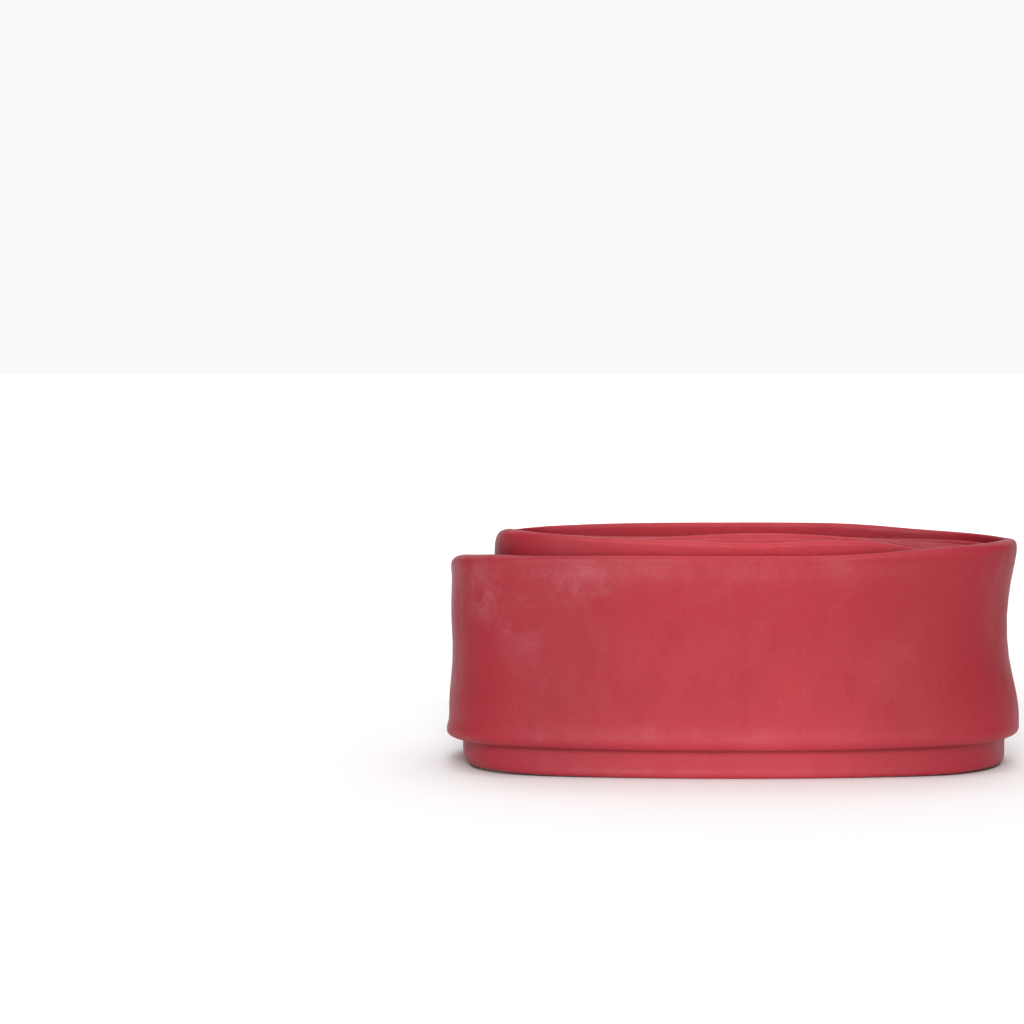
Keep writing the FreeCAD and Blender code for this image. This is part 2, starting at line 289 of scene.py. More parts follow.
# how far the wall stands out from its route at each end and side, by height above the floor
RIGHT_BULGE = [(0, -0.2), (5.5, 0.0), (9, 0.4), (14.6, -0.4), (18, -1.2), (27, -1.9), (33, -1.3),
               (38, -0.4), (44, -0.1)]
LEFT_BULGE = [(0, -0.1), (5.7, -0.1), (10.6, 0), (20.4, -0.65), (27, -0.4), (37, -0.6), (44, -0.8)]
FRONT_BULGE = [(0, 0.1), (5, 0.1), (8.5, 0.35), (12, 0.3), (19, -0.15), (27, -0.45), (36, 0), (44, 0.1)]
BACK_BULGE = [(0, 0), (12, 0.2), (25, -0.3), (38, 0.1), (44, 0.1)]

# the inner layers bulge less: the innermost layer's share, and the first layer with all of it
INNERMOST_BULGE = 0.35
FULL_BULGE_LAYER = 7

# where each end's shape fades in, outwards along the roll, and the bow of the right one
RIGHT_SPAN = (12, 48)
LEFT_SPAN = (22, 50)
FAR_RIGHT_SPAN = (38, 50)
FAR_LEFT_SPAN = (34, 46)
END_BOW = 1.5

# the line inside the roll that its walls are pushed away from, and how softly a face turns over
SPINE = (-26, 28)
FACING_PASSES = 4

# the layers over which the outer wrap's own shape fades in, and those over which the shape of the
# wrap that steps up beside its left end fades in and out
OUTER_LAYERS = (7.2, 8)
STEPPED_FROM = (5.4, 6)
STEPPED_TO = (6.2, 6.8)

# how an edge curls inwards at the ends of the roll: how far, over what height
END_CURL = {"upper left": (1.3, 2.6), "lower left": (0.8, 2.8), "upper right": (1.5, 3.2),
            "lower right": (0.9, 2.0)}
STEP_CURL = (2.3, 3.8)
INNER_CURL_SHARE = 0.5

# the outer wrap leans in at its top, along the front
TOP_LEAN = 1.1
TOP_LEAN_HEIGHTS = (35.5, 39.5)

# the strand that has slipped to the floor, known by its upper edge being near a flat width above
# it, shows as a strip: it spreads towards the floor along the front, with a fine moulded line,
# and is drawn in and lifted a little at both ends
SLIPPED_REACH = 0.8
STRIP_SPREAD = 0.3
STRIP_SPREAD_HEIGHTS = (0.5, 5.5)
STRIP_LINE = 0.14
STRIP_LINE_HEIGHT = 1.7
STRIP_LINE_REACH = 0.35
STRIP_TUCK = 0.8
STRIP_TUCK_HEIGHTS = (4.5, 7.5)
STRIP_CURL = (1.0, 3.0)
STRIP_LIFT = 0.4
STRIP_LIFT_SPAN = (12, 44)

# the inner layers rise in the middle of the front, by layer from the innermost out
CROWN_RISES = [1.6, 1.3, 1.4, 0.3, 0.6, 0.0]
CROWN_X = 4
CROWN_REACH = 27

# the last full layer dips there
DIP = 0.55
DIP_LAYER = 6
DIP_X = 3
DIP_REACH = 12

# the outer wrap's upper edge sinks as it comes round the left end, from the back to the front
SINK = 0.5
SINK_SPAN = (45, 50)
SINK_SIDE = (-6, 6)

# slow waves along the edges and their beads: size, number round the loop, and phase. Those of
# the edges fade out over these layers.
UPPER_RIPPLE = (0.12, 23, 1)
UPPER_RIPPLE_LAYERS = (4, 6)
LOWER_RIPPLE = (0.2, 19, 2)
LOWER_RIPPLE_LAYERS = (5, 6.5)
BEAD_RIPPLE = (0.03, 31, 0)


def half_thickness(d, bead):
    """Half the strand's thickness at a distance from its folded edge."""
    inside = np.minimum(d, bead)
    rim = np.sqrt(np.maximum(0.0, bead ** 2 - (bead - inside) ** 2))
    neck = FLAT_HALF + (bead - FLAT_HALF) * swell(d, bead, BEAD_SPREAD)
    return np.where(d < bead, rim, neck)


def curl(d, amount, reach):
    """How far an edge is drawn in, at a distance from it."""
    t = np.clip(1 - d / reach, 0, 1)
    return -amount * (1 - np.sqrt(1 - t * t))


class Winding:
    """The wound strand's stations, and shares from 0 to 1 that say where on the roll each lies."""

    def __init__(self):
        rows = eased(route())
        self.xy, self.low, self.high, self.layer = rows[:, :2], rows[:, 2], rows[:, 3], rows[:, 4]
        x, y = self.xy.T
        gaps = np.linalg.norm(np.roll(self.xy, -1, axis=0) - self.xy, axis=1)
        self.angle = 2 * math.pi * np.concatenate([[0.0], np.cumsum(gaps)[:-1]]) / gaps.sum()

        ahead = unit(np.roll(self.xy, -1, axis=0) - np.roll(self.xy, 1, axis=0))
        self.normal = np.stack([-ahead[:, 1], ahead[:, 0]], axis=1)
        spine = np.stack([np.clip(x, *SPINE), np.zeros_like(x)], axis=1)
        self.outward = unit(self.xy - spine)
        self.faces_out = np.sign((self.normal * self.outward).sum(axis=1))
        for _ in range(FACING_PASSES):
            self.faces_out = mean_beside(self.faces_out)

        self.right, self.left = ramp(x, *RIGHT_SPAN) ** END_BOW, ramp(-x, *LEFT_SPAN)
        between = (1 - self.right) * (1 - self.left)
        self.front, self.back = between * (y < 0), between * (y > 0)
        self.far_right, self.far_left = ramp(x, *FAR_RIGHT_SPAN), ramp(-x, *FAR_LEFT_SPAN)
        self.outer = ramp(self.layer, *OUTER_LAYERS)
        stepped_layer = ramp(self.layer, *STEPPED_FROM) * (1 - ramp(self.layer, *STEPPED_TO))
        self.stepped = stepped_layer * self.far_left
        self.slipped = np.clip(1 - np.abs(self.high - FLAT_WIDTH) / SLIPPED_REACH, 0, 1)
        share = self.layer / FULL_BULGE_LAYER
        self.bulge = np.clip(INNERMOST_BULGE + (1 - INNERMOST_BULGE) * share, 0, 1)
        self.curling = INNER_CURL_SHARE + (1 - INNER_CURL_SHARE) * self.outer
        self.shape_edges()

    def ripple(self, size, count, phase):
        return size * np.sin(count * self.angle + phase)

    def shape_edges(self):
        """Moves the edges a little from the table's heights."""
        x, y = self.xy.T
        crown = np.clip(1 - ((x - CROWN_X) / CROWN_REACH) ** 2, 0, 1) ** 2 * (y < 0)
        self.high += crown * np.interp(self.layer, range(len(CROWN_RISES)), CROWN_RISES)
        near_dip = np.clip(1 - np.abs(self.layer - DIP_LAYER), 0, 1)
        self.high -= DIP * swell(x, DIP_X, DIP_REACH) * (y < 0) * near_dip
        self.high -= SINK * self.outer * ramp(-x, *SINK_SPAN) * ramp(-y, *SINK_SIDE)
        self.high += self.ripple(*UPPER_RIPPLE) * (1 - ramp(self.layer, *UPPER_RIPPLE_LAYERS))
        self.low += self.ripple(*LOWER_RIPPLE) * (1 - ramp(self.layer, *LOWER_RIPPLE_LAYERS))
        self.low += STRIP_LIFT * self.slipped * ramp(np.abs(x - MIDDLE_X), *STRIP_LIFT_SPAN) ** END_BOW

    def push(self, z, d, edge):
        """How far the wall stands out from its route at height z, a distance d from an edge."""
        out = self.bulge * curve(z, RIGHT_BULGE) * self.right
        out += self.bulge * (curve(z, FRONT_BULGE) * self.front + curve(z, BACK_BULGE) * self.back)
        out += curve(z, LEFT_BULGE) * self.left * self.layer / LAST
        out += curl(d, *END_CURL[edge + " right"]) * self.far_right * self.curling
        out += curl(d, *END_CURL[edge + " left"]) * self.far_left * self.curling * (1 - self.stepped)
        if edge == "upper":
            out += curl(d, *STEP_CURL) * self.stepped
        else:
            out += curl(d, *STRIP_CURL) * self.slipped * self.far_left
        out -= TOP_LEAN * ease(z, *TOP_LEAN_HEIGHTS) * self.outer * self.front
        out -= STRIP_TUCK * (1 - ramp(z, *STRIP_TUCK_HEIGHTS)) * self.slipped * self.far_right
        strip = STRIP_SPREAD * (1 - ramp(z, *STRIP_SPREAD_HEIGHTS))
        strip -= STRIP_LINE * swell(z, STRIP_LINE_HEIGHT, STRIP_LINE_REACH)
        return out + strip * self.slipped * self.front

    def half(self, d, lip, side):
        """Half the thickness, with a lip on the bead where this side of the outer wrap faces out."""
        bead = BEAD + self.ripple(*BEAD_RIPPLE) + lip * self.outer * ramp(side * self.faces_out, 0, 1)
        return half_thickness(d, bead)


def latex_tube(material):
    strand = Winding()
    stations = len(strand.xy)
    ring_size = 4 * len(EDGE_STEPS) - 4
    rings = np.zeros((stations, ring_size, 3))
    # each edge's steps run from it to the middle line, which the lower edge sets
    upper = ("upper", strand.high, -1, UPPER_LIP, ring_size // 2)
    lower = ("lower", strand.low, 1, LOWER_LIP, 0)
    for edge, height, way, lip, first in (upper, lower):
        for k, d in enumerate(EDGE_STEPS):
            z = height + way * d
            line = strand.xy + strand.outward * strand.push(z, d, edge)[:, None]
            for side in (1, -1):
                wall = line + side * strand.normal * strand.half(d, lip, side)[:, None]
                rings[:, (first + way * side * k) % ring_size] = np.column_stack([wall, z])
    piece = mesh_piece("latex_tube", rings.reshape(-1, 3), ring_faces(stations, ring_size), material)
    stand_in(piece, "roll", "tube")


# ---------------------------------------------------------------- the valve

# The valve lies along +X. Its lengths run from the face of the wall that it is bonded to: a pair
# is where a part or a feature of it starts and ends, and a list holds (length, radius) points.
VALVE_Z = APEX - FLAT_WIDTH / 2
SEAT_X = WALL_HALF - CORE_LEFT
SMALL_BEVEL = 0.1
TINY = 1e-6
ARC_POINTS = 5
SMALL_ARC_POINTS = 3

STEM_BORE = 1.75
FLANGE = (-0.63, 1.15)
FLANGE_RADIUS = 4.0
FLANGE_BEVEL = 0.15
FLANGE_ROOT = [(1.4, 3.2)]
ROOT_START = 1.75
ROOT_RADIUS = 2.8
BARREL = (3.6, 32.55)
BARREL_RADIUS = 3.0
BARREL_BEVEL = 0.08
BARREL_ROUND = 0.3
BARREL_STEP = 1.0
NECK_END = 36.85
NECK_RADIUS = 2.4
NECK_ROUND = 0.2
SEAT_CONE = (30.2, 31.4)
SEAT_RADIUS = 1.98

CORE_TUBE = (26.1, 32.2)
CORE_TUBE_RADIUS = 1.45
CORE_BORE = 0.85
CORE_SCREW = (32.4, 36.55)
CORE_SCREW_ROOT = 1.7
CORE_SCREW_RADIUS = 1.92
COLLAR = (36.87, 38.9)
COLLAR_RADIUS = 2.6
COLLAR_ROUND = 0.15
COLLAR_HALF_FLATS = 2.3
CAP_SCREW = (39.2, 42.8)
CAP_SCREW_ROOT = 2.33
CAP_SCREW_RADIUS = 2.55
CORE_END = 43.1
CORE_END_RADIUS = 1.5
CORE_SHOULDER = [(42.95, 1.9)]
THREAD_PITCH = 0.8
THREAD_DEPTH = 0.22
THREAD_STEP = 0.08

PIN = (22.95, 47.35)
PIN_RADIUS = 0.75
PIN_HEAD = 46.85
PIN_HEAD_RADIUS = 1.05
PIN_HEAD_FACE = 0.98
PIN_HEAD_ROUND = 0.08
PIN_TIP_ROUND = 0.4
PIN_TIP_FLAT = 0.4
PIN_SEGMENTS = 48

NUT = (44.15, 46.35)
NUT_BORE = 0.81
NUT_RADIUS = 2.1
NUT_ROUND = 0.2
NUT_NOSE = [(44.15, 1.45), (44.2, 1.5), (44.8, 2.06)]
NUT_SIDE_START = 44.85
NUT_STEP = 0.25
KNURLS = 18
KNURL_SEGMENTS = 8
KNURL_DEPTH = 0.16
KNURLED_FROM = (44.65, 44.95)
KNURLED_OUTSIDE = (1.4, 1.6)

CAP = (32.57, 48.35)
CAP_MOUTH = 2.7
CAP_RING_END = 33.87
CAP_RING_RADIUS = 4.25
CAP_RING_ROUND = 0.2
CAP_RING_FOOT = [(33.89, 4.0)]
CAP_SKIRT = (33.97, 43.5)
CAP_SKIRT_RADII = (4.0, 3.36)
CAP_SKIRT_STEP = 0.3
CAP_SHOULDER = [(43.65, 3.2), (43.9, 2.86), (44.1, 2.8)]
CAP_DOME = 1.68
CAP_DOME_RADIUS = 2.8
CAP_DOME_STEP = 7.5
CAP_ROOF = 47.6
CAP_INSIDE = [(47.6, 1.7), (47.25, 2.15), (46.95, 2.3), (43.7, 2.3), (43.4, 2.7)]
RIBS = 16
RIB_SEGMENTS = 12
RIB_DEPTH = 0.4
RIBS_FADE_IN = (34.07, 34.67)
RIBS_FADE_OUT = (43.2, 43.7)
RIBS_OUTSIDE = 2.9

FOOT = (0.64, 3.58)
FOOT_BORE = 4.02
FOOT_RADIUS = 4.4
FOOT_SIDE = [(1.09, 4.38), (1.44, 4.2), (2.14, 3.98), (3.23, 3.78)]
FOOT_ROUND = 0.3
FOOT_TOP_RADIUS = 3.78
FOOT_NECK = [(3.58, 2.83), (1.78, 2.83), (1.17, 4.02)]

PATCH_RADII = (4.04, 11.5)
PATCH_RINGS = 26
PATCH_SEGMENTS = 128
PATCH_REST = 0.6
PATCH_THICK = 0.66
PATCH_RIM = 0.14
PATCH_FEATHERED_FROM = 9.4
PATCH_BEAD = 0.08
PATCH_BEAD_AT = 9.0
PATCH_BEAD_REACH = 0.35
PATCH_BEND = 1.0


def turned(name, profile, material, shape=None, segments=96):
    """A form turned round the valve's axis, from (length, radius) points that either make a
    ring or start and end on the axis. A shape changes the radius by length and angle."""
    solid = profile[0][1] == 0
    outline = np.array(profile[1:-1] if solid else profile)
    angle = 2 * np.pi * np.arange(segments) / segments
    u, turn = np.meshgrid(outline[:, 0], angle, indexing="ij")
    r = np.repeat(outline[:, 1:2], segments, axis=1)
    if shape:
        r = shape(u, r, turn)
    points = np.stack([SEAT_X + u, r * np.cos(turn), VALVE_Z + r * np.sin(turn)], axis=2)
    points = list(points.reshape(-1, 3))
    faces = ring_faces(len(outline), segments)
    if solid:
        faces = faces[:-segments]
        for pole, first in ((0, 0), (-1, (len(outline) - 1) * segments)):
            points.append((SEAT_X + profile[pole][0], 0, VALVE_Z))
            faces += [(first + k, first + (k + 1) % segments, len(points) - 1) for k in range(segments)]
    return mesh_piece(name, points, faces, material)


def arc(u, r, radius, start, end, count):
    """Points on an arc round (u, r), between two angles in degrees."""
    angles = np.radians(np.linspace(start, end, count))
    return [(u + radius * math.cos(a), r + radius * math.sin(a)) for a in angles]


def rising(u, r, radius, count=ARC_POINTS):
    """The rounded corner from a face at u out to a side at r."""
    return arc(u + radius, r - radius, radius, 180, 90, count)


def falling(u, r, radius):
    """The rounded corner from a side at r in to a face at u."""
    return arc(u - radius, r - radius, radius, 90, 0, ARC_POINTS)


def run(start, end, radius, end_radius, step):
    """Points a step apart along a plain or tapered length."""
    count = round((end - start) / step)
    return [(start + (end - start) * k / count, radius + (end_radius - radius) * k / count)
            for k in range(count + 1)]


def screw(u, angle, start, end):
    """How deep a rounded thread is cut at each place, 0 at its crests and outside it."""
    wave = 0.5 - 0.5 * np.cos(2 * np.pi * (u - start) / THREAD_PITCH - angle)
    lead = THREAD_PITCH / 2
    inside = ramp(u, start, start + lead) * (1 - ramp(u, end - lead, end))
    return THREAD_DEPTH * np.where((u >= start) & (u <= end), 1 - inside + inside * wave, 0)


def grooves(angle, count, sharpness):
    """1 at the bottom of each of the grooves round a part, and 0 between them."""
    return (0.5 + 0.5 * np.cos(count * angle)) ** sharpness


def valve_stem(metal):
    low, top = FLANGE
    start, end = BARREL
    rim = FLANGE_RADIUS - FLANGE_BEVEL
    profile = [(low, STEM_BORE), (low, rim), (low + FLANGE_BEVEL, FLANGE_RADIUS)]
    profile += [(top - FLANGE_BEVEL, FLANGE_RADIUS), (top, rim)] + FLANGE_ROOT
    profile += [(ROOT_START, ROOT_RADIUS), (start, ROOT_RADIUS)]
    profile += [(start, BARREL_RADIUS - BARREL_BEVEL), (start + BARREL_BEVEL, BARREL_RADIUS)]
    profile += run(start + BARREL_ROUND, end - BARREL_ROUND, BARREL_RADIUS, BARREL_RADIUS, BARREL_STEP)
    profile += falling(end, BARREL_RADIUS, BARREL_ROUND)
    profile += [(end, NECK_RADIUS), (NECK_END - NECK_ROUND, NECK_RADIUS)]
    profile += falling(NECK_END, NECK_RADIUS, NECK_ROUND) + [(NECK_END, SEAT_RADIUS)]
    profile += [(SEAT_CONE[1], SEAT_RADIUS), (SEAT_CONE[0], STEM_BORE)]
    stand_in(turned("stem_turned", profile, metal), "roll", "valve_stem")


def core_body(brass):
    start, end = COLLAR

    def shape(u, r, angle):
        r = r - screw(u, angle, *CORE_SCREW) - screw(u, angle, *CAP_SCREW)
        flats = COLLAR_HALF_FLATS / np.maximum(np.abs(np.sin(angle)), TINY)
        on_collar = (u > start - TINY) & (u < end + TINY)
        return np.where(on_collar, np.minimum(r, flats), r)

    low, high = CORE_TUBE
    profile = [(low, CORE_BORE), (low, CORE_TUBE_RADIUS - SMALL_BEVEL)]
    profile += [(low + SMALL_BEVEL, CORE_TUBE_RADIUS), (high, CORE_TUBE_RADIUS)]
    profile += [(CORE_SCREW[0], CORE_SCREW_ROOT)]
    profile += run(*CORE_SCREW, CORE_SCREW_RADIUS, CORE_SCREW_RADIUS, THREAD_STEP)
    profile += [(start, CORE_SCREW_ROOT), (start, COLLAR_RADIUS - COLLAR_ROUND)]
    profile += rising(start, COLLAR_RADIUS, COLLAR_ROUND) + falling(end, COLLAR_RADIUS, COLLAR_ROUND)
    profile += [(end, CAP_SCREW_ROOT), (CAP_SCREW[0], CAP_SCREW_ROOT)]
    profile += run(*CAP_SCREW, CAP_SCREW_RADIUS, CAP_SCREW_RADIUS, THREAD_STEP)
    profile += CORE_SHOULDER + [(CORE_END, CORE_END_RADIUS), (CORE_END, CORE_BORE)]
    stand_in(turned("core_threaded", profile, brass, shape), "core", "core_body")


def core_pin(brass):
    start, tip = PIN
    profile = [(start, 0), (start, PIN_RADIUS - SMALL_BEVEL)]
    profile += [(start + SMALL_BEVEL, PIN_RADIUS), (PIN_HEAD, PIN_RADIUS), (PIN_HEAD, PIN_HEAD_FACE)]
    profile += rising(PIN_HEAD, PIN_HEAD_RADIUS, PIN_HEAD_ROUND, SMALL_ARC_POINTS)
    profile += falling(tip, PIN_HEAD_RADIUS, PIN_TIP_ROUND) + [(tip, PIN_TIP_FLAT), (tip, 0)]
    piece = turned("pin_turned", profile, brass, segments=PIN_SEGMENTS)
    stand_in(piece, "pin", "core_pin")


def pin_nut(brass):
    def shape(u, r, angle):
        reach = ramp(u, *KNURLED_FROM) * ramp(r, *KNURLED_OUTSIDE)
        return r - KNURL_DEPTH * grooves(angle, KNURLS, 2) * reach

    start, end = NUT
    profile = [(start, NUT_BORE)] + NUT_NOSE
    profile += run(NUT_SIDE_START, end - NUT_ROUND, NUT_RADIUS, NUT_RADIUS, NUT_STEP)
    profile += falling(end, NUT_RADIUS, NUT_ROUND) + [(end, NUT_BORE)]
    piece = turned("nut_knurled", profile, brass, shape, KNURL_SEGMENTS * KNURLS)
    stand_in(piece, "nut", "pin_nut")


def valve_cap(plastic):
    def shape(u, r, angle):
        reach = ramp(u, *RIBS_FADE_IN) * (1 - ramp(u, *RIBS_FADE_OUT)) * (r > RIBS_OUTSIDE)
        return r - RIB_DEPTH * grooves(angle, RIBS, 1.5) * reach

    start, end = CAP
    profile = [(CAP_ROOF, 0)] + CAP_INSIDE
    profile += [(start, CAP_MOUTH), (start, CAP_RING_RADIUS - CAP_RING_ROUND)]
    profile += rising(start, CAP_RING_RADIUS, CAP_RING_ROUND)
    profile += falling(CAP_RING_END, CAP_RING_RADIUS, CAP_RING_ROUND) + CAP_RING_FOOT
    profile += run(*CAP_SKIRT, *CAP_SKIRT_RADII, CAP_SKIRT_STEP) + CAP_SHOULDER
    profile += [(end - CAP_DOME + CAP_DOME * math.sin(a), CAP_DOME_RADIUS * math.cos(a))
                for a in np.radians(np.arange(0, 90, CAP_DOME_STEP))]
    profile.append((end, 0))
    piece = turned("cap_ribbed", profile, plastic, shape, RIB_SEGMENTS * RIBS)
    stand_in(piece, "cap", "valve_cap")


def valve_foot(rubber):
    low, top = FOOT
    profile = [(low, FOOT_BORE), (low, FOOT_RADIUS - SMALL_BEVEL)]
    profile += rising(low, FOOT_RADIUS, SMALL_BEVEL, SMALL_ARC_POINTS) + FOOT_SIDE
    profile += falling(top, FOOT_TOP_RADIUS, FOOT_ROUND) + FOOT_NECK
    stand_in(turned("foot_moulded", profile, rubber), "roll", "valve_foot")


def patch_place(s, h, inset):
    """A point on the face of the wall at the apex, s round it and h up from the valve's axis."""
    straight, roundness = CORE_SIDE_LEFT - LEFT_CORNER, LEFT_CORNER - PATCH_BEND
    beyond = max(0.0, abs(s) - straight)
    swing = min(math.pi / 2, beyond / roundness)
    x = LEFT_CORNER - CORE_LEFT - (LEFT_CORNER - inset) * math.cos(swing)
    x += beyond - swing * roundness
    y = min(abs(s), straight) + (LEFT_CORNER - inset) * math.sin(swing)
    return (x, math.copysign(y, s), VALVE_Z + h)


def valve_patch(material):
    radii = np.linspace(*PATCH_RADII, PATCH_RINGS)
    fading = ramp(radii, PATCH_FEATHERED_FROM, PATCH_RADII[1])
    thick = PATCH_THICK - (PATCH_THICK - PATCH_RIM) * fading
    thick += PATCH_BEAD * swell(radii, PATCH_BEAD_AT, PATCH_BEAD_REACH)
    sides = [(r, PATCH_REST) for r in radii] + [(r, PATCH_REST + t) for r, t in zip(radii, thick)][::-1]
    angles = 2 * np.pi * np.arange(PATCH_SEGMENTS) / PATCH_SEGMENTS
    points = [patch_place(r * math.cos(a), r * math.sin(a), inset) for r, inset in sides for a in angles]
    piece = mesh_piece("patch_bonded", points, ring_faces(len(sides), PATCH_SEGMENTS), material)
    stand_in(piece, "roll", "valve_patch")


# ---------------------------------------------------------------- materials

# the mix node's sockets for colours: the share, the colour below, the colour above, and the result
MIX_INPUTS = (0, 6, 7)
MIX_OUTPUT = 2

# the part of a noise that roughness follows
ROUGH_SPAN = (0.3, 0.7)


class Look:
    """A material whose nodes are added one by one, in object coordinates in metres."""

    def __init__(self, name, colour, **sockets):
        self.material = bpy.data.materials.new(name)
        self.material.use_nodes = True
        self.tree = self.material.node_tree
        self.shader = self.tree.nodes["Principled BSDF"]
        self.base = (*colour, 1)
        self.shader.inputs["Base Color"].default_value = self.base
        for socket, value in sockets.items():
            self.shader.inputs[socket.replace("_", " ")].default_value = value
        self.place = self.tree.nodes.new("ShaderNodeTexCoord").outputs["Object"]
        self.colour = self.normal = None

    def link(self, source, target):
        self.tree.links.new(source, target)

    def stretched(self, scale):
        node = self.tree.nodes.new("ShaderNodeMapping")
        node.inputs["Scale"].default_value = scale
        self.link(self.place, node.inputs["Vector"])
        return node.outputs["Vector"]

    def noise(self, scale, detail, roughness=0.5, place=None):
        node = self.tree.nodes.new("ShaderNodeTexNoise")
        node.inputs["Scale"].default_value = scale
        node.inputs["Detail"].default_value = detail
        node.inputs["Roughness"].default_value = roughness
        self.link(place or self.place, node.inputs["Vector"])
        return node.outputs["Fac"]

    def spread(self, value, span, to=(0.0, 1.0)):
        """Carries a value from one span to another, rounded at both ends."""
        node = self.tree.nodes.new("ShaderNodeMapRange")
        node.interpolation_type = "SMOOTHSTEP"
        for socket, number in zip(("From Min", "From Max", "To Min", "To Max"), (*span, *to)):
            node.inputs[socket].default_value = number
        self.link(value, node.inputs["Value"])
        return node.outputs["Result"]

    def maths(self, kind, *values):
        node = self.tree.nodes.new("ShaderNodeMath")
        node.operation = kind
        for socket, value in zip(node.inputs, values):
            if isinstance(value, (int, float)):
                socket.default_value = value
            else:
                self.link(value, socket)
        return node.outputs["Value"]

    def axis(self, name):
        node = self.tree.nodes.new("ShaderNodeSeparateXYZ")
        self.link(self.place, node.inputs["Vector"])
        return node.outputs[name]

    def cloud(self, middle, size):
        """1 at a place, in millimetres, falling to 0 at the edge of an oval round it."""
        node = self.tree.nodes.new("ShaderNodeMapping")
        node.vector_type = "TEXTURE"
        node.inputs["Location"].default_value = [v * MM for v in middle]
        node.inputs["Scale"].default_value = [v * MM for v in size]
        self.link(self.place, node.inputs["Vector"])
        ball = self.tree.nodes.new("ShaderNodeTexGradient")
        ball.gradient_type = "SPHERICAL"
        self.link(node.outputs["Vector"], ball.inputs["Vector"])
        return self.spread(ball.outputs["Fac"], (0.0, 0.7))

    def tint(self, colour, share):
        """Lays a colour over those before it, by a share."""
        node = self.tree.nodes.new("ShaderNodeMix")
        node.data_type = "RGBA"
        factor, under, over = (node.inputs[k] for k in MIX_INPUTS)
        under.default_value = self.base
        over.default_value = (*colour, 1)
        if self.colour:
            self.link(self.colour, under)
        self.link(share, factor)
        self.colour = node.outputs[MIX_OUTPUT]
        self.link(self.colour, self.shader.inputs["Base Color"])

    def tint_by(self, colour, value, span, most):
        """Lays a colour over those before it, by more of it as a value crosses a span."""
        self.tint(colour, self.spread(value, span, (0.0, most)))

    def bump(self, height, distance):
        node = self.tree.nodes.new("ShaderNodeBump")
        node.inputs["Strength"].default_value = 1.0
        node.inputs["Distance"].default_value = distance
        self.link(height, node.inputs["Height"])
        if self.normal:
            self.link(self.normal, node.inputs["Normal"])
        self.normal = node.outputs["Normal"]
        self.link(self.normal, self.shader.inputs["Normal"])

    def rough(self, value, low, high):
        self.link(self.spread(value, ROUGH_SPAN, (low, high)), self.shader.inputs["Roughness"])


LATEX_RED = (0.375, 0.018, 0.031)
LATEX_DEEP = (0.26, 0.013, 0.022)
LATEX_WARM = (0.46, 0.032, 0.047)
# painted light: the latex lighter towards the floor
LATEX_LIT_LOW = (0.53, 0.046, 0.07)
# painted highlight: the latex paler along the upper rims
LATEX_RIM_HIGHLIGHT = (0.53, 0.033, 0.054)
TALC = (0.50, 0.19, 0.21)
SPECK = (0.10, 0.012, 0.018)

# where painted light makes the latex lighter towards the floor, a painted highlight makes it paler at
# the rims, and painted shade makes it deeper towards the ends
LOW_LIGHT_HEIGHTS = (0.016, 0.002)
RIM_HIGHLIGHT_HEIGHTS = (0.0392, 0.0405)
END_SHADE_SPAN = (0.008, 0.038)

# the clouds of talc left on the outer wrap: middle and half size, in millimetres
TALC_CLOUDS = [((-29, -24, 35), (13, 9, 6)), ((-40, -24, 27), (7, 9, 12)), ((-46, -20, 34), (7, 12, 9)),
               ((-15, -27, 9), (12, 6, 3))]
TALC_SHARE = 0.3
TALC_FILM = 0.06

SPECKS_SCALE = 130
SPECK_SIZES = (0.07, 0.03)
SPECK_SHARE = 0.8

NICKEL = (0.72, 0.70, 0.67)
BRASS = (0.78, 0.58, 0.30)
STAIN = 0.75
FOOT_BLACK = (0.035, 0.034, 0.036)
CAP_BLACK = (0.022, 0.022, 0.024)
SEAL_BLACK = (0.03, 0.03, 0.032)


def talc(look, share):
    """Thin clouds of talc, by a share, over a trace of it everywhere."""
    clouds = 0.0
    for place, size in TALC_CLOUDS:
        clouds = look.maths("MAXIMUM", clouds, look.cloud(place, size))
    wisps = look.spread(look.noise(160, detail=5, roughness=0.65), (0.36, 0.66))
    dust = look.spread(look.noise(900, detail=3, roughness=0.7), (0.35, 0.7), (0.5, 1.0))
    film = look.spread(look.noise(120, detail=4, roughness=0.6), (0.5, 0.8), (0.0, TALC_FILM))
    powder = look.maths("MULTIPLY", look.maths("MULTIPLY", clouds, wisps), dust)
    return look.maths("ADD", look.maths("MULTIPLY", powder, share), film)


def specks(look):
    """A few small dark specks, each in its own cell of a loose grid."""
    cells = look.tree.nodes.new("ShaderNodeTexVoronoi")
    cells.inputs["Scale"].default_value = SPECKS_SCALE
    look.link(look.place, cells.inputs["Vector"])
    spots = look.spread(cells.outputs["Distance"], SPECK_SIZES)
    chosen = look.spread(look.noise(90, detail=0), (0.66, 0.68))
    return look.maths("MULTIPLY", look.maths("MULTIPLY", spots, chosen), SPECK_SHARE)


